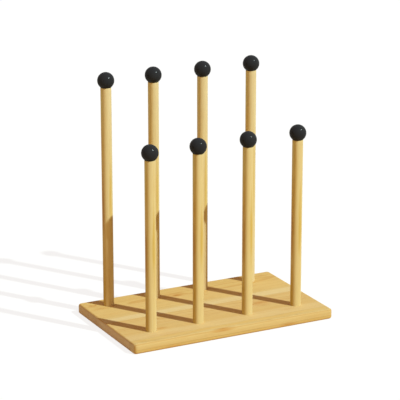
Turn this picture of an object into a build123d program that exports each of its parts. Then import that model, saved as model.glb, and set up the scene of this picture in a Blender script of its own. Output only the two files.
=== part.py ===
from build123d import *
import os

# Free-standing peg rack for boots and shoes. Lengths are millimetres and +Z is up.
# The origin is the centre of the board's underside. +X runs along the rows of posts
# and +Y points to the tall row at the back.

# Board, glued up from staves that run along X
board_width = 472
board_depth = 285
board_thickness = 22
board_corner_radius = 8
board_arris_radius = 5
# Glue lines from back to front, as shares of half the board's depth
glue_line_shares = (0.59, 0.25, 0, -0.39, -0.83)

# Posts, each glued into a blind socket in the board's top
post_diameter = 23
post_arris = 0.6
short_post_rise = 369
tall_post_rise = 482
short_row_inset = 61
tall_row_inset = 40
# Post centres from left to right, as shares of half the board's width
short_post_shares = (-0.711, -0.244, 0.252, 0.755)
tall_post_shares = (-0.762, -0.295, 0.201, 0.702)
socket_depth = 10
socket_glue_gap = 0.1

# Knobs, balls with a flat that sits on the post's end
knob_diameter = 36
knob_flat_depth = 3.3

# Dowel pins between the posts and the knobs
dowel_diameter = 8
dowel_arris = 0.8
dowel_in_knob = 13
dowel_in_post = 17
dowel_glue_gap = 0.1
dowel_end_gap = 1

# Countersunk screws from the board's underside into the posts
screw_diameter = 5
screw_core_diameter = 3.4
screw_head_diameter = 9.6
screw_head_angle = 90
screw_head_sink = 0.3
screw_length = 45
screw_shank_length = 16
screw_point_length = 6
screw_thread_pitch = 2.4
screw_hole_gap = 0.2
screw_seat_gap = 0.1
screw_thread_gap = 0.05
screw_end_gap = 1
recess_span = 4.8
recess_floor_span = 1.6
recess_arm_width = 1
recess_depth = 2.4

# How far a cut runs past the face that it leaves through
overrun = 1

# Places that follow from the sizes above
socket_floor = board_thickness - socket_depth
short_row_y = short_row_inset - board_depth / 2
tall_row_y = board_depth / 2 - tall_row_inset
short_places = [(share * board_width / 2, short_row_y) for share in short_post_shares]
tall_places = [(share * board_width / 2, tall_row_y) for share in tall_post_shares]
short_seat_z = board_thickness + short_post_rise
tall_seat_z = board_thickness + tall_post_rise
short_seats = [(x, y, short_seat_z) for x, y in short_places]
tall_seats = [(x, y, tall_seat_z) for x, y in tall_places]


def upright_plane(x, y, z):
    """Vertical plane through a point, with its own Y along +Z, for profiles turned about a post's axis."""
    return Plane(origin=(x, y, z), x_dir=(1, 0, 0), z_dir=(0, -1, 0))


def write(name, solid):
    """Label a finished node and write its file."""
    solid.label = name
    export_step(solid, f"parts/{name}.step")


def make_panel():
    """The whole board after gluing: rounded, with its sockets and countersunk screw holes."""
    places = short_places + tall_places
    with BuildPart() as panel:
        with BuildSketch(Plane.XY):
            RectangleRounded(board_width, board_depth, board_corner_radius)
        extrude(amount=board_thickness)
        outline_faces = panel.faces().sort_by(Axis.Z)
        fillet(outline_faces[0].edges() + outline_faces[-1].edges(), board_arris_radius)
        with Locations(*[(x, y, board_thickness) for x, y in places]):
            Hole(post_diameter / 2 + socket_glue_gap, socket_depth)
        with Locations(*[Location((x, y, 0), (180, 0, 0)) for x, y in places]):
            CounterSinkHole(
                screw_diameter / 2 + screw_hole_gap,
                screw_head_diameter / 2 + screw_head_sink + screw_seat_gap,
                socket_floor + overrun,
                screw_head_angle,
            )
    return panel.part


def make_stave(panel, back_y, front_y):
    """The strip of the board between two glue lines."""
    with BuildPart() as stave:
        add(panel)
        with BuildSketch(Plane.XY):
            with Locations((0, (back_y + front_y) / 2)):
                Rectangle(board_width, back_y - front_y)
        extrude(amount=board_thickness, mode=Mode.INTERSECT)
    return stave.part


def make_post(x, y, rise):
    """A round post from its socket's floor up, drilled at both ends for its screw and its dowel."""
    with BuildPart() as post:
        with Locations((x, y, socket_floor)):
            Cylinder(post_diameter / 2, socket_depth + rise, align=(Align.CENTER, Align.CENTER, Align.MIN))
        chamfer(post.edges().filter_by(GeomType.CIRCLE), post_arris)
        with Locations(post.faces().sort_by(Axis.Z)[-1]):
            Hole(dowel_diameter / 2 + dowel_glue_gap, dowel_in_post + dowel_end_gap)
        with Locations(post.faces().sort_by(Axis.Z)[0]):
            Hole(
                screw_diameter / 2 + screw_thread_gap,
                screw_head_sink + screw_length - socket_floor + screw_end_gap,
            )
    return post.part


def make_knob(x, y, seat_z):
    """A turned ball, flat underneath, with a blind hole for its dowel."""
    knob_radius = knob_diameter / 2
    centre_rise = knob_radius - knob_flat_depth
    with BuildPart() as knob:
        with BuildSketch(upright_plane(x, y, seat_z)):
            with Locations((0, centre_rise)):
                Circle(knob_radius)
                Rectangle(knob_diameter, knob_diameter, align=(Align.MAX, Align.CENTER), mode=Mode.SUBTRACT)
            Rectangle(knob_diameter, knob_diameter, align=(Align.CENTER, Align.MAX), mode=Mode.SUBTRACT)
            Rectangle(
                dowel_diameter / 2 + dowel_glue_gap,
                dowel_in_knob + dowel_end_gap,
                align=(Align.MIN, Align.MIN),
                mode=Mode.SUBTRACT,
            )
        revolve(axis=Axis((x, y, seat_z), (0, 0, 1)))
    return knob.part


def make_dowels():
    """Eight dowel pins, one across each joint of post and knob."""
    with BuildPart() as dowels:
        with Locations(*[(x, y, z - dowel_in_post) for x, y, z in short_seats + tall_seats]):
            Cylinder(
                dowel_diameter / 2,
                dowel_in_post + dowel_in_knob,
                align=(Align.CENTER, Align.CENTER, Align.MIN),
            )
        chamfer(dowels.edges().filter_by(GeomType.CIRCLE), dowel_arris)
    return dowels.part


def screw_outline():
    """Half of the screw's length section, from the middle of its head to its point."""
    screw_radius = screw_diameter / 2
    core_radius = screw_core_diameter / 2
    head_radius = screw_head_diameter / 2
    thread_room = screw_length - screw_shank_length - screw_point_length
    points = [(0, 0), (head_radius, 0), (screw_radius, head_radius - screw_radius)]
    points += [(screw_radius, screw_shank_length), (core_radius, screw_shank_length + screw_thread_pitch / 2)]
    for turn in range(1, int(thread_room / screw_thread_pitch)):
        crest = screw_shank_length + turn * screw_thread_pitch
        points += [(screw_radius, crest), (core_radius, crest + screw_thread_pitch / 2)]
    return points + [(core_radius, screw_length - screw_point_length), (0, screw_length)]


def make_screw():
    """One wood screw, head down at the origin, with a cross recess in its head."""
    with BuildPart() as screw:
        with BuildSketch(Plane.XZ):
            with BuildLine():
                Polyline(*screw_outline(), close=True)
            make_face()
        revolve(axis=Axis.Z)
        for side in (Plane.XZ, Plane.YZ):
            with BuildSketch(side):
                with BuildLine():
                    Polyline(
                        (-recess_span / 2, 0),
                        (recess_span / 2, 0),
                        (recess_floor_span / 2, recess_depth),
                        (-recess_floor_span / 2, recess_depth),
                        close=True,
                    )
                make_face()
            extrude(amount=recess_arm_width / 2, both=True, mode=Mode.SUBTRACT)
    return screw.part


def make_screws():
    """Eight screws, one under each post, with their heads just below the board's underside."""
    screw = make_screw()
    with BuildPart() as screws:
        with Locations(*[(x, y, screw_head_sink) for x, y in short_places + tall_places]):
            add(screw)
    return screws.part


os.makedirs("parts", exist_ok=True)

glue_lines = [share * board_depth / 2 for share in glue_line_shares]
stave_edges = [board_depth / 2, *glue_lines, -board_depth / 2]
board_panel = make_panel()
for number, (back_edge, front_edge) in enumerate(zip(stave_edges, stave_edges[1:]), start=1):
    write(f"board_stave_{number}", make_stave(board_panel, back_edge, front_edge))

for number, (x, y) in enumerate(short_places, start=1):
    write(f"short_post_{number}", make_post(x, y, short_post_rise))
    write(f"short_knob_{number}", make_knob(x, y, short_seat_z))

for number, (x, y) in enumerate(tall_places, start=1):
    write(f"tall_post_{number}", make_post(x, y, tall_post_rise))
    write(f"tall_knob_{number}", make_knob(x, y, tall_seat_z))

write("knob_dowels", make_dowels())
write("post_screws", make_screws())
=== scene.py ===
import math

import bpy
from mathutils import Matrix, Vector


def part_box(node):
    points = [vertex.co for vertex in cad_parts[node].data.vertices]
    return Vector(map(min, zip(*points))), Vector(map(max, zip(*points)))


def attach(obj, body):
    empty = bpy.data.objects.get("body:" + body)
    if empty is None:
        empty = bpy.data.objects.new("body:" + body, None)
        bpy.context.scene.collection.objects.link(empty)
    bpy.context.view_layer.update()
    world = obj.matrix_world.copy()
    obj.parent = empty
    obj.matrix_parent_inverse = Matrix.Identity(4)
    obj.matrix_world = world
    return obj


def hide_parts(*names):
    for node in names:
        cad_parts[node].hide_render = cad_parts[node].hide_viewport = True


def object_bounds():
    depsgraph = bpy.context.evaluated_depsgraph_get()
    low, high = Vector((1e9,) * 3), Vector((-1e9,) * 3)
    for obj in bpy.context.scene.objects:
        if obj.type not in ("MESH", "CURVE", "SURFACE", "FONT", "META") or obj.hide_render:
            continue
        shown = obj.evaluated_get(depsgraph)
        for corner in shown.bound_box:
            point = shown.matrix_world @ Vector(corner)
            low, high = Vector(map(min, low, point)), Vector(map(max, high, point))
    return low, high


# Peg rack for boots and shoes: a glued pine board, two rows of turned posts and black ball knobs.
# Lengths are metres in the frame's own axes. Lengths inside the timber's figure are millimetres.

MM = 0.001
ROWS = ("short", "tall")
POSTS_IN_ROW = 4

# Turned pieces
STEPS_AROUND = 64
STEPS_ALONG_POST = 48
STEPS_PER_ARC = 6
STEPS_PER_BALL = 40
POST_ARRIS = 0.6 * MM
POST_WAVER_SHARE = 0.006
KNOB_SEAT_ROUND = 0.5 * MM
KNOB_WAVER_SHARE = 0.001
WAVER_PER_METRE = 60.0
WAVER_CIRCLE = 10.0 * MM
WELD_DISTANCE = 0.002 * MM
SHARP_ANGLE = math.radians(50)

# Board: a stave's face that is nearer than this to the board's edge is no seam
SEAM_FROM_EDGE = 1.0 * MM

# Blind holes in the turned pieces, for the dowel pins and the screws
DOWEL_HOLE_RADIUS = 4.1 * MM
DOWEL_HOLE_IN_POST = 18.0 * MM
DOWEL_HOLE_IN_KNOB = 14.0 * MM
PILOT_HOLE_RADIUS = 2.55 * MM
PILOT_HOLE_DEPTH = 34.3 * MM

# Screws
SCREW_STEPS_AROUND = 24
SCREW_RADIUS = 2.5 * MM
SCREW_CORE_RADIUS = 1.7 * MM
SCREW_HEAD_RADIUS = 4.8 * MM
SCREW_HEAD_ARRIS = 0.1 * MM
SCREW_SHANK = 16.0 * MM
SCREW_POINT = 6.0 * MM
SCREW_LENGTH = 45.0 * MM
THREAD_PITCH = 2.4 * MM
THREAD_SHARE = 0.4
RECESS_SPAN = 4.8 * MM
RECESS_FLOOR_SPAN = 1.6 * MM
RECESS_ARM = 1.0 * MM
RECESS_DEPTH = 2.4 * MM
SCREW_TURN_SEED = 4

# Dowel pins
PIN_STEPS_AROUND = 64
PIN_FLUTES = 16
PIN_FLUTE_DEPTH = 0.15 * MM
PIN_RADIUS = 4.0 * MM
PIN_ARRIS = 0.8 * MM
PIN_IN_POST = 17.0 * MM
PIN_LENGTH = 30.0 * MM
PIN_TURN_SEED = 9

# Camera, at the photograph's viewing angle
CAMERA_AIM = Vector((-0.0113, 0.0, 0.2624))
CAMERA_DISTANCE = 4.2968
CAMERA_AZIMUTH = math.radians(-27.29)
CAMERA_ELEVATION = math.radians(16.905)
CAMERA_LENS = 182.67
CAMERA_SENSOR = 36.0

# Light
SUN_AZIMUTH = math.radians(33.5)
SUN_ELEVATION = math.radians(44.5)
SUN_COLOUR = (0.83, 1.0, 0.98)
SUN_STRENGTH = 3.45
SUN_WIDTH = math.radians(1.0)
FILL_COLOUR = (1.0, 0.65, 0.48, 1.0)
FILL_STRENGTH = 0.365
FLOOR_BOUNCE = (0.74, 0.53, 0.24, 1.0)
UNDERSIDE_LIGHT = (0.8, 0.76, 0.7, 1.0)
FLOOR_WHITE = 0.9
FLOOR_LIFT = 0.8
FLOOR_GLOW = 0.84
FLOOR_SIZE = 40.0
FLOOR_MIDDLE = 1.0
FLOOR_DROP = 0.2 * MM
TOUCH_NEAR = 1.0 * MM
TOUCH_FAR = 3.0 * MM
WHITE = (1.0, 1.0, 1.0, 1.0)


def linear(red, green, blue):
    """A colour given as screen values from 0 to 255, as the shaders want it: linear, with an alpha of 1."""
    channels = [value / 255 for value in (red, green, blue)]
    bent = [v / 12.92 if v <= 0.04045 else ((v + 0.055) / 1.055) ** 2.4 for v in channels]
    return (*bent, 1.0)


class Wire:
    """An output in a node tree. Plain arithmetic on it adds Math nodes."""

    def __init__(self, tree, node, out=0):
        self.tree, self.node, self.socket = tree, node, node.outputs[out]

    def out(self, name):
        return Wire(self.tree, self.node, name)

    def maths(self, operation, *values):
        return self.tree.add("ShaderNodeMath", {"operation": operation}, dict(enumerate(values)))

    def away_from(self, value):
        """How far this number is from another, either way."""
        return self.maths("ABSOLUTE", self - value)

    def __add__(self, other):
        return self.maths("ADD", self, other)

    def __sub__(self, other):
        return self.maths("SUBTRACT", self, other)

    def __rsub__(self, other):
        return self.maths("SUBTRACT", other, self)

    def __mul__(self, other):
        return self.maths("MULTIPLY", self, other)

    def __truediv__(self, other):
        return self.maths("DIVIDE", self, other)

    __radd__ = __add__
    __rmul__ = __mul__


class Tree:
    """Adds nodes to a shader tree or a geometry tree."""

    def __init__(self, owner):
        self.owner = owner

    def add(self, kind, settings=None, sockets=None, out=0):
        node = self.owner.nodes.new(kind)
        for name, value in (settings or {}).items():
            setattr(node, name, value)
        for name, value in (sockets or {}).items():
            self.feed(node.inputs[name], value)
        return Wire(self, node, out)

    def feed(self, socket, value):
        if isinstance(value, Wire):
            self.owner.links.new(value.socket, socket)
        else:
            socket.default_value = value

    def noise(self, place, scale, detail=2.0, roughness=0.5, out=0):
        sockets = {"Vector": place, "Scale": scale, "Detail": detail, "Roughness": roughness}
        return self.add("ShaderNodeTexNoise", {}, sockets, out)

    def stretched_noise(self, place, scales, detail=2.0, roughness=0.5, out=0):
        """Noise with a scale of its own along each axis."""
        return self.noise(self.vector("MULTIPLY", place, scales), 1.0, detail, roughness, out)

    def vector(self, operation, first, second, out=0):
        return self.add("ShaderNodeVectorMath", {"operation": operation}, {0: first, 1: second}, out)

    def length(self, vector):
        return self.vector("LENGTH", vector, (0, 0, 0), "Value")

    def step(self, value, low, high, low_out=0.0, high_out=1.0, shape="SMOOTHSTEP"):
        """Goes from low_out to high_out as value goes from low to high, softly unless shape is LINEAR."""
        sockets = {"Value": value, "From Min": low, "From Max": high, "To Min": low_out, "To Max": high_out}
        return self.add("ShaderNodeMapRange", {"interpolation_type": shape}, sockets)

    def blend(self, share, first, second, kind="MIX"):
        settings = {"data_type": "RGBA", "blend_type": kind}
        return self.add("ShaderNodeMix", settings, {0: share, 6: first, 7: second}, 2)


def material_tree(name):
    """A new material, its tree and its Principled shader."""
    material = bpy.data.materials.new(name)
    material.use_nodes = True
    return material, Tree(material.node_tree), material.node_tree.nodes["Principled BSDF"]


# Pine

EARLY_HEART = linear(219, 191, 122)
EARLY_SAP = linear(225, 204, 146)
LATE_HEART = linear(200, 154, 80)
LATE_SAP = linear(209, 173, 104)
STREAK = linear(205, 160, 82)
CLOUD = linear(207, 166, 97)
FIBRE = linear(183, 139, 74)
RESIN = linear(146, 96, 50)
STAIN = linear(194, 136, 60)
KNOT = linear(150, 92, 44)
# Painted shade: a darker colour for the board's rounded arrises, which dims the light they catch
ARRIS_SHADE = linear(198, 156, 88)
# Painted light: a paler, greyer colour for the board's shaded end faces
END_FACE_LIGHT = linear(222, 210, 184)
GLUE_LINE = linear(146, 98, 54)
YELLOW_TONGUE = linear(206, 170, 82)
RED_TONGUE = linear(196, 155, 98)
PALE_TOP = linear(221, 204, 166)
OLIVE_EDGE = linear(222, 213, 150)
# Painted light: a paler strip down the front of every post, which brightens its half-lit middle
PAINTED_LIGHT_SIDE = linear(244, 218, 146)
# Painted shade: a darker, more orange colour low on the tall posts, where the short posts' shadows fall
FOOT_SHADE_PAINT = linear(204, 164, 94)
# Painted shade: a duller colour for the tall posts' brightest lit side, which dims its light
LIT_EDGE_SHADE_PAINT = linear(204, 183, 131)
WARM_STRIP = linear(236, 190, 96)
DULL_LINE = linear(174, 146, 88)

# Scales of the timber's noises per millimetre: twice across the trunk, then along it. The last is along the
# radius, for the rhythm of wide and narrow years
WANDER_SCALES = (0.018, 0.018, 0.0045)
RIPPLE_SCALES = (0.3, 0.3, 0.03)
FIBRE_SCALES = (2.2, 2.2, 0.045)
STREAK_SCALES = (0.35, 0.35, 0.008)
DASH_SCALES = (3.4, 3.4, 0.16)
CLOUD_SCALES = (0.03, 0.03, 0.009)
RHYTHM_SCALE = 0.11

# How far the rings stray, in millimetres, in years, and in shares of a stain's reach
WANDER = (14.0, 14.0, 0.0)
RIPPLE = 1.2
RHYTHM = 1.6
STAIN_RIPPLE = 0.7

# Where in a year the late wood starts, is full, and starts to end, and how much of it a poor year has
LATE_START = 0.42
LATE_FULL = 0.9
LATE_END = 0.93
POOR_YEAR = 0.45

# Where each marking starts and is full, in its noise, in how squarely the face is turned, in shares of a
# stain's reach or in millimetres from a seam, and how strongly it then colours the wood
LATE_DEPTH = 0.62
STREAK_RANGE, STREAK_DEPTH = (0.45, 0.75), 0.35
CLOUD_RANGE, CLOUD_DEPTH = (0.5, 0.8), 0.22
FIBRE_RANGE, FIBRE_DEPTH = (0.3, 0.8), 0.16
DASH_RANGE, DASH_DEPTH = (0.70, 0.78), 0.3
SWELLING_RANGE = (0.2, 1.7)
STAIN_RANGE, STAIN_ON_EARLY, STAIN_ON_LATE = (0.3, 1.5), 0.6, 1.0
# Painted light on the board's end faces
END_FACE_LIGHT_RANGE, END_FACE_LIGHT_DEPTH = (0.6, 0.95), 0.7
# Painted shade on the board's rounded arrises
ARRIS_SHADE_RANGE, ARRIS_SHADE_DEPTH = (0.72, 0.97), 0.74
GLUE_RANGE, GLUE_DEPTH = (0.08, 0.22), 0.6


def cut_from_log(node, along, turn, lean, from_pith, up_trunk):
    """Turns a piece's own place into its place in the log that it was sawn from.

    along is the piece's axis that lies along the trunk. turn and lean are degrees: how far the piece is
    turned about the trunk and how far its axis runs off the trunk's. from_pith, the place of the piece's
    middle across the trunk, and up_trunk are millimetres.
    """
    low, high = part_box(node)
    middle = (low + high) / 2 / MM
    stand_up = Matrix.Rotation(math.radians(-90), 4, "Y") if along == "X" else Matrix.Identity(4)
    run_off = Matrix.Rotation(math.radians(lean), 4, "X")
    turned = Matrix.Rotation(math.radians(turn), 4, "Z")
    whole = turned @ run_off @ stand_up
    shift = Vector((*from_pith, up_trunk)) - whole @ middle
    return {"Rotation": tuple(whole.to_euler("XYZ")), "Location": tuple(shift)}


def growth_rings(tree, place, log, ring_width, stains):
    """Year rings, bent by the trunk's slow wander and pushed out round a branch.

    Returns the bent place in the log, the distance from the pith, the share of late wood, and for every stain
    its share and its colour.
    """
    sway = tree.vector("SUBTRACT", tree.stretched_noise(log, WANDER_SCALES, out="Color"), (0.5, 0.5, 0.5))
    bent = tree.vector("ADD", log, tree.vector("MULTIPLY", sway, WANDER))
    ripple = tree.stretched_noise(log, RIPPLE_SCALES)
    radius = tree.length(tree.vector("MULTIPLY", bent, (1.0, 1.0, 0.0))) + ripple * RIPPLE
    spots = []
    for spot, reach, swelling, depth, tint in stains:
        away = tree.vector("MULTIPLY", tree.vector("SUBTRACT", place, spot), tuple(1 / r for r in reach))
        distance = tree.length(away) + ripple * STAIN_RIPPLE
        radius = radius + tree.step(distance, *SWELLING_RANGE, swelling, 0.0)
        spots.append((tree.step(distance, *STAIN_RANGE, depth, 0.0), tint))
    line = {"W": radius * RHYTHM_SCALE, "Scale": 1.0}
    years = radius / ring_width + tree.add("ShaderNodeTexNoise", {"noise_dimensions": "1D"}, line) * RHYTHM
    season = years.maths("FRACT", years)
    late = tree.step(season, LATE_START, LATE_FULL) * tree.step(season, LATE_END, 1.0, 1.0, 0.0)
    year = {"W": years.maths("FLOOR", years)}
    luck = tree.add("ShaderNodeTexWhiteNoise", {"noise_dimensions": "1D"}, year)
    return bent, radius, late * tree.step(luck, 0.0, 1.0, POOR_YEAR, 1.0), spots


def timber_colour(tree, log, bent, radius, late, fibre, heart):
    """Pale sapwood outside the heart, darker late wood, then streaks, clouds, fibres and resin dashes."""
    streak = tree.stretched_noise(bent, STREAK_SCALES, 3.0, 0.55)
    dash = tree.stretched_noise(bent, DASH_SCALES, 1.0, 0.4)
    cloud = tree.stretched_noise(log, CLOUD_SCALES)
    heart_radius, heart_edge, paleness = heart
    sap = tree.step(radius + cloud * heart_edge, heart_radius, heart_radius + heart_edge) * paleness
    early = tree.blend(sap, EARLY_HEART, EARLY_SAP)
    dark = tree.blend(sap, LATE_HEART, LATE_SAP)
    colour = tree.blend(late * LATE_DEPTH, early, dark)
    colour = tree.blend(tree.step(streak, *STREAK_RANGE) * STREAK_DEPTH, colour, STREAK)
    colour = tree.blend(tree.step(cloud, *CLOUD_RANGE) * CLOUD_DEPTH, colour, CLOUD)
    colour = tree.blend(tree.step(fibre, *FIBRE_RANGE) * FIBRE_DEPTH, colour, FIBRE)
    return tree.blend(tree.step(dash, *DASH_RANGE) * DASH_DEPTH, colour, RESIN)


def stave_edges(tree, place, colour, seams):
    """Painted light on the end faces, painted shade on the rounded arrises, and the glue lines at a stave's
    seams.
    """
    facing = tree.vector("ABSOLUTE", tree.add("ShaderNodeTexCoord", out="Normal"), (0, 0, 0))
    parts = tree.add("ShaderNodeSeparateXYZ", {}, {0: facing})
    flattest = parts.maths("MAXIMUM", parts, parts.maths("MAXIMUM", parts.out("Y"), parts.out("Z")))
    # Painted light: the end faces turn paler and greyer
    colour = tree.blend(tree.step(parts, *END_FACE_LIGHT_RANGE) * END_FACE_LIGHT_DEPTH, colour, END_FACE_LIGHT)
    # Painted shade: the arrises darken, most on the rounds and not at all on the flat faces
    colour = tree.blend(tree.step(flattest, *ARRIS_SHADE_RANGE, ARRIS_SHADE_DEPTH, 0.0), colour, ARRIS_SHADE)
    across = tree.add("ShaderNodeSeparateXYZ", {}, {0: place}, "Y")
    for seam in seams:
        in_line = tree.step(across.away_from(seam), *GLUE_RANGE, GLUE_DEPTH, 0.0)
        colour = tree.blend(in_line, colour, GLUE_LINE)
    return colour


def pine(name, cut, heart, ring_width, tone, stains, seams=None):
    """Pine under a clear finish, with growth rings that run right through the piece.

    cut places the piece in its log. heart is the heartwood's radius, the width of its edge and how pale the
    sapwood outside it is. tone multiplies the colour. stains are places where the timber differs, as beside a
    branch, and on the posts also strips of painted light and shade: their place, reach, swelling of the
    rings, depth of colour and colour. seams are a stave's glued faces, by their places across the board; with
    them come painted light on the end faces and painted shade on the arrises.
    """
    material, tree, shader = material_tree(name)
    place = tree.vector("MULTIPLY", tree.add("ShaderNodeTexCoord", out="Object"), (1 / MM, 1 / MM, 1 / MM))
    log = tree.add("ShaderNodeMapping", {"vector_type": "POINT"}, {"Vector": place, **cut})
    bent, radius, late, spots = growth_rings(tree, place, log, ring_width, stains)
    fibre = tree.stretched_noise(bent, FIBRE_SCALES, 4.0, 0.6)
    colour = timber_colour(tree, log, bent, radius, late, fibre, heart)
    for spot, tint in spots:
        colour = tree.blend(spot * (STAIN_ON_EARLY + late * (STAIN_ON_LATE - STAIN_ON_EARLY)), colour, tint)
    # The glue lines, with painted light on the end faces and painted shade on the arrises
    if seams:
        colour = stave_edges(tree, place, colour, seams)
    colour = tree.blend(1.0, colour, (*tone, 1.0), "MULTIPLY")
    tree.feed(shader.inputs["Base Color"], colour)

    # A clear satin finish, a little duller over the soft early wood
    tree.feed(shader.inputs["Roughness"], 0.62 - late * 0.1 + fibre * 0.08)
    bump = {"Height": late * 0.4 + fibre * 0.6, "Strength": 0.35, "Distance": 0.05 * MM}
    tree.feed(shader.inputs["Normal"], tree.add("ShaderNodeBump", {}, bump))
    shader.inputs["Specular IOR Level"].default_value = 0.06
    return material


def post_marks(node, yellow_side, figure):
    """The marks of a row's figure and of its painted light and shade, at this post's own place, as stains for
    its pine.
    """
    low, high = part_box(node)
    middle, size = (low + high) / 2 / MM, (high - low) / MM
    stains = []
    for side, below, height, span, across, swelling, depth, tint in figure:
        angle = math.radians(yellow_side + side)
        out = size.x / 2 - below
        up = low.z / MM + size.z * height
        spot = (middle.x + out * math.cos(angle), middle.y + out * math.sin(angle), up)
        stains.append((spot, (across, across, size.z * span), swelling, depth, tint))
    return stains


# Paint, metal and beech. Scales of their noises are per metre

PAINT_DARK = linear(33, 34, 37)
PAINT_WORN = linear(45, 45, 48)
PAINT_GRAIN_SCALES = (900, 900, 220)
PAINT_PEEL_SCALE = 1400.0
PAINT_WEAR_SCALE = 90.0
ZINC_COOL = linear(176, 178, 182)
ZINC_WARM = linear(206, 204, 196)
ZINC_BLOTCH_SCALE = 700.0
BEECH = linear(222, 182, 138)
BEECH_FLECK = linear(176, 124, 82)
BEECH_FLECK_SCALES = (2600, 2600, 500)
BEECH_FLECK_RANGE = (0.55, 0.68)


def black_paint(name):
    """Satin black paint on turned wood."""
    material, tree, shader = material_tree(name)
    place = tree.add("ShaderNodeTexCoord", out="Object")
    grain = tree.stretched_noise(place, PAINT_GRAIN_SCALES, 3.0, 0.6)
    peel = tree.noise(place, PAINT_PEEL_SCALE)
    wear = tree.noise(place, PAINT_WEAR_SCALE, 3.0, 0.6)
    tree.feed(shader.inputs["Base Color"], tree.blend(wear, PAINT_DARK, PAINT_WORN))
    tree.feed(shader.inputs["Roughness"], 0.6 + wear * 0.12)
    bump = {"Height": grain * 0.6 + peel * 0.4, "Strength": 0.2, "Distance": 0.04 * MM}
    tree.feed(shader.inputs["Normal"], tree.add("ShaderNodeBump", {}, bump))
    shader.inputs["Specular IOR Level"].default_value = 0.03
    shader.inputs["Coat Weight"].default_value = 0.13
    shader.inputs["Coat Roughness"].default_value = 0.13
    return material


def zinc(name):
    """Bright zinc plate on the screws, a little blotched."""
    material, tree, shader = material_tree(name)
    place = tree.add("ShaderNodeTexCoord", out="Object")
    blotch = tree.noise(place, ZINC_BLOTCH_SCALE, 3.0, 0.6)
    tree.feed(shader.inputs["Base Color"], tree.blend(blotch, ZINC_COOL, ZINC_WARM))
    tree.feed(shader.inputs["Roughness"], 0.28 + blotch * 0.2)
    shader.inputs["Metallic"].default_value = 1.0
    return material


def beech(name):
    """Bare beech of the dowel pins, with its short flecks."""
    material, tree, shader = material_tree(name)
    place = tree.add("ShaderNodeTexCoord", out="Object")
    fleck = tree.stretched_noise(place, BEECH_FLECK_SCALES)
    colour = tree.blend(tree.step(fleck, *BEECH_FLECK_RANGE), BEECH, BEECH_FLECK)
    tree.feed(shader.inputs["Base Color"], colour)
    tree.feed(shader.inputs["Roughness"], 0.6 + fleck * 0.15)
    return material


# Geometry trees, and the pieces that they make


def shape_tree(name, inputs, output):
    """A new geometry tree with named inputs and one output."""
    group = bpy.data.node_groups.new(name, "GeometryNodeTree")
    for title, kind in inputs.items():
        group.interface.new_socket(name=title, in_out="INPUT", socket_type="NodeSocket" + kind)
    group.interface.new_socket(name=output, in_out="OUTPUT", socket_type="NodeSocketGeometry")
    tree = Tree(group)
    return tree, tree.add("NodeGroupInput"), group.nodes.new("NodeGroupOutput").inputs[output]


def lathe_tree():
    """Turns an outline about the Z axis and stands it at a place.

    The outline is a row of points: X is the radius, Z the height and Y how far ridges stand out there. Ridge
    Climb is how many rows of the outline the ridges climb with each step around: one for a thread, and none
    for straight flutes. Ridge Share is how much of the space from ridge to ridge they fill. The radius wavers
    with a noise that is read round a circle about the piece's axis.
    """
    inputs = {
        "Outline": "Geometry",
        "Steps Around": "Int",
        "Place": "Vector",
        "Waver Share": "Float",
        "Waver Scale": "Float",
        "Ridges Around": "Int",
        "Ridge Climb": "Int",
        "Ridge Share": "Float",
        "Material": "Material",
    }
    tree, given, result = shape_tree("turn_on_lathe", inputs, "Turned")
    outline, steps = given.out("Outline"), given.out("Steps Around")
    rows = tree.add("GeometryNodeAttributeDomainSize", {"component": "MESH"}, {"Geometry": outline})
    grid = tree.add("GeometryNodeMeshGrid", {}, {"Vertices X": steps + 1, "Vertices Y": rows})
    index = tree.add("GeometryNodeInputIndex")
    column = index.maths("FLOOR", (index + 0.5) / rows)
    row = index - column * rows
    position = tree.add("GeometryNodeInputPosition")
    point = tree.add(
        "GeometryNodeSampleIndex",
        {"data_type": "FLOAT_VECTOR"},
        {"Geometry": outline, "Value": position, "Index": row},
    )
    parts = tree.add("ShaderNodeSeparateXYZ", {}, {0: point})
    height = parts.out("Z")
    angle = column / steps * math.tau
    east, north = angle.maths("COSINE", angle), angle.maths("SINE", angle)
    circle = {"X": east * WAVER_CIRCLE, "Y": north * WAVER_CIRCLE, "Z": height}
    spot = tree.add("ShaderNodeCombineXYZ", {}, circle)
    waver = tree.noise(tree.vector("ADD", spot, given.out("Place")), given.out("Waver Scale"), 1.0)
    ridges = (row * given.out("Ridge Climb") - column * given.out("Ridges Around")) / steps
    phase = ridges.maths("FRACT", ridges)
    ridge = tree.step(phase.away_from(0.5) * 2, 0.0, given.out("Ridge Share"), 1.0, 0.0, "LINEAR")
    reach = parts.out("X") * (1 - waver * given.out("Waver Share")) + parts.out("Y") * ridge
    turned = tree.add("ShaderNodeCombineXYZ", {}, {"X": reach * east, "Y": reach * north, "Z": height})
    moved = tree.vector("ADD", turned, given.out("Place"))
    shaped = tree.add("GeometryNodeSetPosition", {}, {"Geometry": grid, "Position": moved})
    closed = tree.add("GeometryNodeMergeByDistance", {}, {"Geometry": shaped, "Distance": WELD_DISTANCE})
    smooth = tree.add("GeometryNodeSetShadeSmooth", {}, {"Geometry": closed, "Shade Smooth": True})
    real = tree.add("GeometryNodeRealizeInstances", {}, {"Geometry": smooth})
    finish = {"Geometry": real, "Material": given.out("Material")}
    tree.feed(result, tree.add("GeometryNodeSetMaterial", {}, finish))
    return tree.owner


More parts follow.
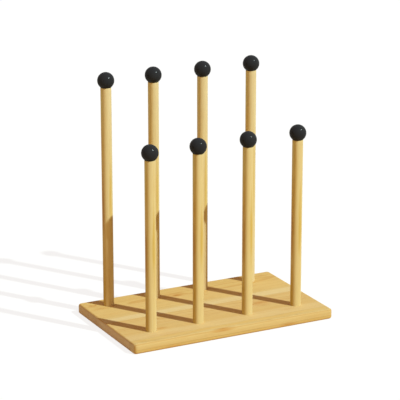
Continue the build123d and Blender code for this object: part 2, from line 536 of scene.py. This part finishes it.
def repeat_tree(lathe):
    """Turns a ridged piece, cuts a recess in it and stands it at each place, turned a different way."""
    inputs = {
        "Places": "Geometry",
        "Outline": "Object",
        "Recess": "Object",
        "Steps Around": "Int",
        "Ridges Around": "Int",
        "Ridge Climb": "Int",
        "Ridge Share": "Float",
        "Turn Seed": "Int",
        "Material": "Material",
    }
    tree, given, result = shape_tree("repeat_at_places", inputs, "Pieces")
    outline = tree.add("GeometryNodeObjectInfo", {}, {"Object": given.out("Outline")}, "Geometry")
    plain = {"Outline": outline, "Place": (0, 0, 0), "Waver Share": 0.0, "Waver Scale": 0.0}
    shared = ("Steps Around", "Ridges Around", "Ridge Climb", "Ridge Share", "Material")
    passed_on = {name: given.out(name) for name in shared}
    turned = tree.add("GeometryNodeGroup", {"node_tree": lathe}, {**plain, **passed_on})

    # The longer diagonals follow the crest of a thread
    blank = tree.add("GeometryNodeTriangulate", {"quad_method": "LONGEST_DIAGONAL"}, {"Mesh": turned})
    cutter = tree.add("GeometryNodeObjectInfo", {}, {"Object": given.out("Recess")}, "Geometry")
    cut = {"operation": "DIFFERENCE", "solver": "EXACT"}
    hollowed = tree.add("GeometryNodeMeshBoolean", cut, {"Mesh 1": blank, "Mesh 2": cutter})
    whole = tree.add("GeometryNodeTriangulate", {"ngon_method": "BEAUTY"}, {"Mesh": hollowed})
    turn_range = {"Max": (0, 0, math.tau), "Seed": given.out("Turn Seed")}
    turn = tree.add("FunctionNodeRandomValue", {"data_type": "FLOAT_VECTOR"}, turn_range)
    stand = {"Points": given.out("Places"), "Instance": whole, "Rotation": turn}
    placed = tree.add("GeometryNodeInstanceOnPoints", {}, stand)
    real = tree.add("GeometryNodeRealizeInstances", {}, {"Geometry": placed})
    finish = {"Geometry": real, "Material": given.out("Material")}
    tree.feed(result, tree.add("GeometryNodeSetMaterial", {}, finish))
    return tree.owner


def arc(centre, radius, start, end, steps):
    """Points of an arc in the outline's plane, with angles in degrees."""
    turns = [math.radians(start + (end - start) * i / steps) for i in range(steps + 1)]
    return [(centre[0] + radius * math.cos(t), centre[1] + radius * math.sin(t)) for t in turns]


def post_outline(radius, height):
    """A post's half section: flat ends with a small round, a pilot hole below and a dowel hole above."""
    inner = radius - POST_ARRIS
    straight = height - 2 * POST_ARRIS
    side = [(radius, POST_ARRIS + straight * i / STEPS_ALONG_POST) for i in range(1, STEPS_ALONG_POST)]
    foot = arc((inner, POST_ARRIS), POST_ARRIS, -90, 0, STEPS_PER_ARC)
    head = arc((inner, height - POST_ARRIS), POST_ARRIS, 0, 90, STEPS_PER_ARC)
    pilot = [(0, PILOT_HOLE_DEPTH), (PILOT_HOLE_RADIUS, PILOT_HOLE_DEPTH), (PILOT_HOLE_RADIUS, 0)]
    floor = height - DOWEL_HOLE_IN_POST
    socket = [(DOWEL_HOLE_RADIUS, height), (DOWEL_HOLE_RADIUS, floor), (0, floor)]
    return [*pilot, *foot, *side, *head, *socket]


def knob_outline(radius, height):
    """A ball's half section, cut flat below with a small round at the seat's rim and a dowel hole."""
    rise = height - radius
    rim_out = math.sqrt((radius - KNOB_SEAT_ROUND) ** 2 - (rise - KNOB_SEAT_ROUND) ** 2)
    meet = math.degrees(math.atan2(KNOB_SEAT_ROUND - rise, rim_out))
    rim = arc((rim_out, KNOB_SEAT_ROUND), KNOB_SEAT_ROUND, -90, meet, STEPS_PER_ARC)
    ball = arc((0, rise), radius, meet, 90, STEPS_PER_BALL)
    hole = [(0, DOWEL_HOLE_IN_KNOB), (DOWEL_HOLE_RADIUS, DOWEL_HOLE_IN_KNOB), (DOWEL_HOLE_RADIUS, 0)]
    return [*hole, *rim, *ball[1:-1], (0, height)]


def pin_outline():
    """A dowel pin's half section, chamfered at both ends, with flutes between the chamfers."""
    end = PIN_RADIUS - PIN_ARRIS
    root = PIN_RADIUS - PIN_FLUTE_DEPTH
    fluted = [(root, PIN_FLUTE_DEPTH, z) for z in (PIN_ARRIS, PIN_LENGTH - PIN_ARRIS)]
    return [(0, 0, 0), (end, 0, 0), *fluted, (end, 0, PIN_LENGTH), (0, 0, PIN_LENGTH)]


def screw_outline():
    """A screw's half section from the middle of its head up to its point, with its thread between."""
    rim = SCREW_HEAD_RADIUS - SCREW_HEAD_ARRIS * (1 + math.sqrt(2))
    head = [(0, 0), *arc((rim, SCREW_HEAD_ARRIS), SCREW_HEAD_ARRIS, -90, 45, STEPS_PER_ARC)]
    neck = [(SCREW_RADIUS, SCREW_HEAD_RADIUS - SCREW_RADIUS), (SCREW_RADIUS, SCREW_SHANK)]
    points = [(r, 0, z) for r, z in (*head, *neck)]
    row_height = THREAD_PITCH / SCREW_STEPS_AROUND
    rows = round((SCREW_LENGTH - SCREW_SHANK) / row_height)
    for row in range(1, rows):
        z = SCREW_SHANK + row * row_height
        to_point = min(1, (SCREW_LENGTH - z) / SCREW_POINT)
        run_in = max(0, 1 - (z - SCREW_SHANK) / (THREAD_PITCH / 2))
        core = SCREW_CORE_RADIUS * to_point + (SCREW_RADIUS - SCREW_CORE_RADIUS) * run_in
        points.append((core, SCREW_RADIUS * to_point - core, z))
    return [*points, (0, 0, SCREW_LENGTH)]


def recess_block():
    """Corners and faces of the cross to cut from a screw's head, as deep again below it and widening there.

    It is turned by half a step, so that its corners miss the edges between the faces of the head.
    """
    half_step = Matrix.Rotation(math.tau / 2 / SCREW_STEPS_AROUND, 2)
    arm = RECESS_ARM / 2
    mouth_half = RECESS_SPAN - RECESS_FLOOR_SPAN / 2
    corners = []
    for half, z in ((mouth_half, -RECESS_DEPTH), (RECESS_FLOOR_SPAN / 2, RECESS_DEPTH)):
        wing = [half_step @ Vector(corner) for corner in ((half, -arm), (half, arm), (arm, arm))]
        for quarter in range(4):
            corners += [(x, y, z) for x, y in wing]
            wing = [(-y, x) for x, y in wing]
    ring = len(corners) // 2
    sides = [(i, (i + 1) % ring, ring + (i + 1) % ring, ring + i) for i in range(ring)]
    middle = tuple(range(2, ring, 3))
    cross = [middle, *((i, i + 1, i + 2, (i - 1) % ring) for i in range(0, ring, 3))]
    floor = [tuple(ring + i for i in face) for face in cross]
    mouth = [face[::-1] for face in cross]
    return corners, [*sides, *floor, *mouth]


def mesh_object(name, points, faces=None):
    """An object with a mesh of these points and faces or, without faces, of a line through the points."""
    mesh = bpy.data.meshes.new(name)
    line = [] if faces else [(i, i + 1) for i in range(len(points) - 1)]
    mesh.from_pydata(points, line, faces or [])
    made = bpy.data.objects.new(name, mesh)
    bpy.context.scene.collection.objects.link(made)
    return made


def grow_piece(piece, tree, inputs, node):
    """Runs a geometry tree on a piece, keeps the plain mesh and lets it stand for a CAD node."""
    modifier = piece.modifiers.new("shape", "NODES")
    modifier.node_group = tree
    for name, value in inputs.items():
        modifier[tree.interface.items_tree[name].identifier] = value
    depsgraph = bpy.context.evaluated_depsgraph_get()
    piece.data = bpy.data.meshes.new_from_object(piece.evaluated_get(depsgraph), depsgraph=depsgraph)
    piece.modifiers.clear()
    piece.data.set_sharp_from_angle(angle=SHARP_ANGLE)
    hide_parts(node)
    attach(piece, "root")


def turn_piece(node, tree, outline, waver, material):
    """A turned piece that stands for a CAD node, made from its outline at the node's place."""
    low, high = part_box(node)
    middle = (low + high) / 2
    radius, height = (high.x - low.x) / 2, high.z - low.z
    piece = mesh_object(node + "_turned", [(r, 0, z) for r, z in outline(radius, height)])
    inputs = {
        "Steps Around": STEPS_AROUND,
        "Place": (middle.x, middle.y, low.z),
        "Waver Share": waver,
        "Waver Scale": WAVER_PER_METRE,
        "Ridges Around": 1,
        "Ridge Climb": 0,
        "Ridge Share": 1.0,
        "Material": material,
    }
    grow_piece(piece, tree, inputs, node)


def repeat_piece(node, tree, places, outline, recess, inputs):
    """A piece that stands for a CAD node of several like solids, one at each place, cut with any recess."""
    piece = mesh_object(node + "_turned", places)
    helpers = {"Outline": mesh_object(node + "_outline", outline)}
    if recess:
        helpers["Recess"] = mesh_object(node + "_recess", *recess)
    grow_piece(piece, tree, {**helpers, **inputs}, node)
    for helper in helpers.values():
        bpy.data.objects.remove(helper)


# Stage


def seen_directly(tree):
    """1 for rays that come from the camera, off gloss or through glass, and 0 for rays that carry light."""
    rays = tree.add("ShaderNodeLightPath")
    seen = rays.maths("MAXIMUM", rays.out("Is Camera Ray"), rays.out("Is Glossy Ray"))
    return seen.maths("MAXIMUM", seen, rays.out("Is Transmission Ray"))


def make_floor():
    """A pale floor: white from above, with a soft shadow and a modest bounce for the object.

    It is clear from below and glows where the board touches it, so that the underside can be seen there. Its
    mesh is nine tiles, with a small one under the object.
    """
    material, tree, shader = material_tree("pale_floor")

    # What lights the object
    ray_length = tree.add("ShaderNodeLightPath", out="Ray Length")
    touching = tree.step(ray_length, TOUCH_NEAR, TOUCH_FAR, 1.0, 0.0)
    lit = tree.add("ShaderNodeBsdfDiffuse", {}, {"Color": FLOOR_BOUNCE})
    table = tree.add("ShaderNodeEmission", {}, {"Color": UNDERSIDE_LIGHT, "Strength": 1.0})
    bounce = tree.add("ShaderNodeMixShader", {}, {0: touching, 1: lit, 2: table})

    # What the camera sees: a glow, and on it a darker floor that takes the object's shadow
    grey = FLOOR_WHITE * (1 - FLOOR_LIFT)
    shade = tree.add("ShaderNodeBsdfDiffuse", {}, {"Color": (grey, grey, grey, 1.0)})
    glow = tree.add("ShaderNodeEmission", {}, {"Color": WHITE, "Strength": FLOOR_GLOW})
    white = tree.add("ShaderNodeAddShader", {}, {0: shade, 1: glow})
    above = tree.add("ShaderNodeMixShader", {}, {0: seen_directly(tree), 1: bounce, 2: white})
    from_below = tree.add("ShaderNodeNewGeometry", out="Backfacing")
    clear = tree.add("ShaderNodeBsdfTransparent")
    mixed = tree.add("ShaderNodeMixShader", {}, {0: from_below, 1: above, 2: clear})
    output = tree.owner.nodes["Material Output"]
    tree.feed(output.inputs["Surface"], mixed)
    tree.owner.nodes.remove(shader)

    lines = (-FLOOR_SIZE / 2, -FLOOR_MIDDLE / 2, FLOOR_MIDDLE / 2, FLOOR_SIZE / 2)
    count = len(lines)
    corners = [(x, y, -FLOOR_DROP) for y in lines for x in lines]
    starts = [count * row + column for row in range(count - 1) for column in range(count - 1)]
    tiles = [(i, i + 1, i + count + 1, i + count) for i in starts]
    mesh = bpy.data.meshes.new("floor")
    mesh.from_pydata(corners, [], tiles)
    mesh.materials.append(material)
    floor = bpy.data.objects.new("floor", mesh)
    bpy.context.scene.collection.objects.link(floor)


def make_world():
    """White where the camera looks past the floor, and an even fill for the object."""
    world = bpy.data.worlds.new("studio")
    bpy.context.scene.world = world
    world.use_nodes = True
    tree = Tree(world.node_tree)
    tree.owner.nodes.clear()
    fill = tree.add("ShaderNodeBackground", {}, {"Color": FILL_COLOUR, "Strength": FILL_STRENGTH})
    white = tree.add("ShaderNodeBackground", {}, {"Color": WHITE, "Strength": 1.0})
    mixed = tree.add("ShaderNodeMixShader", {}, {0: seen_directly(tree), 1: fill, 2: white})
    output = tree.owner.nodes.new("ShaderNodeOutputWorld")
    tree.feed(output.inputs["Surface"], mixed)


def direction(azimuth, elevation):
    """The way from the object to a place at an azimuth, from its front to its right, and an elevation."""
    out = math.cos(elevation)
    return Vector((math.sin(azimuth) * out, -math.cos(azimuth) * out, math.sin(elevation)))


def make_sun():
    """The key light, from the front right."""
    lamp = bpy.data.lights.new("key", "SUN")
    lamp.color = SUN_COLOUR
    lamp.energy = SUN_STRENGTH
    lamp.angle = SUN_WIDTH
    key = bpy.data.objects.new("key", lamp)
    bpy.context.scene.collection.objects.link(key)
    key.rotation_euler = direction(SUN_AZIMUTH, SUN_ELEVATION).to_track_quat("Z", "Y").to_euler()


def make_camera():
    """The camera at the photograph's angle, aimed near the object's middle."""
    data = bpy.data.cameras.new("camera")
    data.lens = CAMERA_LENS
    data.sensor_width = CAMERA_SENSOR
    camera = bpy.data.objects.new("camera", data)
    bpy.context.scene.collection.objects.link(camera)
    back = direction(CAMERA_AZIMUTH, CAMERA_ELEVATION)
    camera.location = CAMERA_AIM + back * CAMERA_DISTANCE
    camera.rotation_euler = back.to_track_quat("Z", "Y").to_euler()
    bpy.context.scene.camera = camera


# The timber

# How each stave was sawn, from the back of the board to the front. Its cut is its turn about the trunk, its
# lean off it, its middle's place from the pith and its place up the trunk. Then come the heart, the rings'
# width, the tone and the stains, as pine takes them
STAVES = (
    {
        "cut": (4, 1.1, (-36, 14), 300),
        "heart": (230, 10, 0.0),
        "ring_width": 3.1,
        "tone": (1.044, 0.988, 0.97),
        "stains": (
            ((-21, 89, 22), (26, 15, 10), 6.0, 0.95, STAIN),
            ((-25, 91, 22), (7, 5, 6), 0.0, 0.4, KNOT),
            ((204, 121, 22), (20, 6, 6), 3.0, 0.6, STAIN),
            ((-106, 137, 20), (14, 4, 6), 2.0, 0.6, STAIN),
            ((-214, 110, 22), (16, 8, 6), 3.0, 0.7, STAIN),
            ((-205, 88, 22), (28, 12, 8), 2.0, 0.35, STAIN),
        ),
    },
    {
        "cut": (-6, 0.7, (-30, 88), 900),
        "heart": (260, 10, 0.0),
        "ring_width": 2.4,
        "tone": (1.07, 1.03, 1.08),
        "stains": (((34, 66, 22), (12, 4, 6), 1.0, 0.25, STAIN),),
    },
    {
        "cut": (0, 0.5, (-40, -135), 1400),
        "heart": (137, 9, 1.0),
        "ring_width": 2.2,
        "tone": (1.053, 1.027, 1.11),
        "stains": (),
    },
    {
        "cut": (8, 1.3, (-30, -10), 2100),
        "heart": (220, 10, 0.0),
        "ring_width": 2.9,
        "tone": (1.037, 0.985, 1.076),
        "stains": (
            ((115, -35, 22), (32, 15, 10), 6.0, 0.85, STAIN),
            ((120, -33, 22), (9, 3, 6), 0.0, 0.35, KNOT),
            ((118, -51, 22), (24, 5, 8), 2.0, 0.5, STAIN),
            ((158, -7, 22), (20, 4, 7), 2.0, 0.4, STAIN),
        ),
    },
    {
        "cut": (0, 0.4, (-60, -90), 2800),
        "heart": (116, 8, 0.6),
        "ring_width": 2.5,
        "tone": (1.03, 0.98, 1.046),
        "stains": (
            ((-143, -78, 22), (18, 9, 7), 3.0, 0.75, STAIN),
            ((150, -98, 22), (24, 9, 7), 2.0, 0.35, STAIN),
        ),
    },
    {
        "cut": (0, 0.2, (-120, 10), 3500),
        "heart": (118.5, 0.8, 0.6),
        "ring_width": 3.3,
        "tone": (0.957, 0.912, 0.905),
        "stains": (
            ((0, -142.5, 8.6), (600, 14, 1.3), 0.0, 0.6, DULL_LINE),
            ((0, -126, 22), (900, 11, 6), 0.0, 0.5, WARM_STRIP),
            ((-28, -140, 20), (32, 7, 5), 2.0, 1.3, STAIN),
            ((124, -143, 6), (30, 8, 4), 2.0, 1.0, STAIN),
            ((-145, -143, 5), (30, 8, 4), 2.0, 0.6, STAIN),
        ),
    },
)

# How each post was cut: its turn about the trunk, its middle's distance from the pith, and the side of the
# yellow tongue in its figure as an angle from +X
POSTS = {
    "short": ((346, 34, 282), (338, 28, 284), (352, 40, 287), (344, 31, 280)),
    "tall": ((350, 30, 287), (340, 38, 283), (330, 27, 285), (356, 36, 281)),
}

# What all posts share: their lean off the trunk, the length of trunk from one to the next, how far from a
# post's middle towards the pith the heartwood ends, its edge's width, the rings' width and each row's tone
POST_LEAN = 0.4
POST_UP_TRUNK = 700.0
POST_HEART_INSIDE = 10
POST_HEART_EDGE = 2.5
POST_RING_WIDTH = 2.1
POST_TONES = {"short": (1.0, 1.035, 1.148), "tall": (1.022, 1.068, 1.26)}

# The figure in every post. A mark is its angle from the yellow tongue, its depth below the surface, its
# height and its reach up the post as shares of the post's height, its reach across, the swelling of the
# rings, its depth of colour and its colour
POST_MARKS = (
    (0, 0.3, 0.52, 0.25, 3.4, 1.5, 1.9, YELLOW_TONGUE),
    (-16, 0.3, 0.48, 0.18, 1.6, 0.5, 0.8, YELLOW_TONGUE),
    (-4, 4.0, 0.50, 0.28, 9.0, 0.0, 0.35, YELLOW_TONGUE),
    (-91, 0.3, 0.46, 0.21, 4.4, 1.5, 1.9, RED_TONGUE),
    (-94, 1.0, 0.08, 0.27, 5.5, 0.0, 1.5, YELLOW_TONGUE),
    (0, 11.5, 1.0, 0.24, 16.0, 0.0, 0.45, PALE_TOP),
    (-94, 1.0, 0.93, 0.24, 5.5, 0.0, 1.1, OLIVE_EDGE),
)

# Marks that only one row has, or that the rows have at different angles
# Painted light: a paler strip down every post's half-lit front
PAINTED_LIGHT_SIDE_MARK = (0.5, 0.50, 2.00, 8.0, 0.0, 0.7, PAINTED_LIGHT_SIDE)
# Painted shade: a yellower, deeper strip down the short posts where they turn into shade
SHADE_SIDE_PAINT_MARK = (-72, 0.5, 0.50, 2.00, 5.0, 0.0, 0.3, YELLOW_TONGUE)
YELLOW_EDGE_MARK = (8, 0.5, 0.50, 2.00, 9.0, 0.0, 0.3, YELLOW_TONGUE)
# Painted shade: darker and more orange low on the tall posts' fronts
FOOT_SHADE_PAINT_MARK = (-50, 0.5, 0.15, 0.31, 10.0, 0.0, 1.2, FOOT_SHADE_PAINT)
# Painted shade: a duller strip down the tall posts' brightest lit side
LIT_EDGE_SHADE_PAINT_MARK = (24, 0.5, 0.50, 2.00, 6.0, 0.0, 0.4, LIT_EDGE_SHADE_PAINT)
FIGURES_AND_PAINTED_LIGHT = {
    "short": ((-42, *PAINTED_LIGHT_SIDE_MARK), *POST_MARKS, SHADE_SIDE_PAINT_MARK, YELLOW_EDGE_MARK),
    "tall": ((-54, *PAINTED_LIGHT_SIDE_MARK), *POST_MARKS, FOOT_SHADE_PAINT_MARK, LIT_EDGE_SHADE_PAINT_MARK),
}


# The pieces


def make_posts(lathe):
    """Every post, each from its own log."""
    for row in ROWS:
        for number, (turn, from_pith, yellow_side) in enumerate(POSTS[row], start=1):
            name = f"{row}_post_{number}"
            cut = cut_from_log(name, "Z", turn, POST_LEAN, (from_pith, 0.0), POST_UP_TRUNK * number)
            heart = (from_pith - POST_HEART_INSIDE, POST_HEART_EDGE, 1.0)
            marks = post_marks(name, yellow_side, FIGURES_AND_PAINTED_LIGHT[row])
            timber = pine(name + "_pine", cut, heart, POST_RING_WIDTH, POST_TONES[row], marks)
            turn_piece(name, lathe, post_outline, POST_WAVER_SHARE, timber)


def make_knobs(lathe):
    """The black balls on the posts."""
    paint = black_paint("satin_black_paint")
    for row in ROWS:
        for number in range(1, POSTS_IN_ROW + 1):
            turn_piece(f"{row}_knob_{number}", lathe, knob_outline, KNOB_WAVER_SHARE, paint)


def dress_staves(nodes, board_edge):
    """Gives every stave of the board its own timber, with glue lines where it meets its neighbours."""
    for number, stave in enumerate(STAVES, start=1):
        name = f"board_stave_{number}"
        cut = cut_from_log(name, "X", *stave["cut"])
        seams = [corner.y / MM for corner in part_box(name) if abs(corner.y) < board_edge - SEAM_FROM_EDGE]
        looks = (stave["heart"], stave["ring_width"], stave["tone"], stave["stains"])
        nodes[name].material_slots[0].material = pine(name + "_pine", cut, *looks, seams)


def post_tops():
    """The middle of each post's upper end."""
    tops = []
    for row in ROWS:
        for number in range(1, POSTS_IN_ROW + 1):
            low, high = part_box(f"{row}_post_{number}")
            middle = (low + high) / 2
            tops.append((middle.x, middle.y, high.z))
    return tops


def make_screws(repeat, tops):
    """The screws from below, one on each post's axis."""
    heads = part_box("post_screws")[0].z
    places = [(x, y, heads) for x, y, _ in tops]
    inputs = {
        "Steps Around": SCREW_STEPS_AROUND,
        "Ridges Around": 1,
        "Ridge Climb": 1,
        "Ridge Share": THREAD_SHARE,
        "Turn Seed": SCREW_TURN_SEED,
        "Material": zinc("screw_zinc"),
    }
    repeat_piece("post_screws", repeat, places, screw_outline(), recess_block(), inputs)


def make_pins(repeat, tops):
    """The dowel pins between posts and balls."""
    places = [(x, y, top - PIN_IN_POST) for x, y, top in tops]
    inputs = {
        "Steps Around": PIN_STEPS_AROUND,
        "Ridges Around": PIN_FLUTES,
        "Ridge Climb": 0,
        "Ridge Share": 1.0,
        "Turn Seed": PIN_TURN_SEED,
        "Material": beech("dowel_beech"),
    }
    repeat_piece("knob_dowels", repeat, places, pin_outline(), None, inputs)


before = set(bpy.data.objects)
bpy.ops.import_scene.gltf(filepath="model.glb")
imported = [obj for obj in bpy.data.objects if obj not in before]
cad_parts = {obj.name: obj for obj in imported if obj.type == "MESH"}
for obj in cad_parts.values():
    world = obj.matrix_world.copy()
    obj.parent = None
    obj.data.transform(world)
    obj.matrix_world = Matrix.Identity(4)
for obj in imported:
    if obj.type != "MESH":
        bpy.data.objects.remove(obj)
cad_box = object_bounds()
make_camera()

lathe = lathe_tree()
make_posts(lathe)
make_knobs(lathe)
dress_staves(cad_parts, cad_box[1].y)

repeat = repeat_tree(lathe)
tops = post_tops()
make_screws(repeat, tops)
make_pins(repeat, tops)

make_floor()
make_world()
make_sun()
bpy.context.scene.view_settings.view_transform = "Standard"
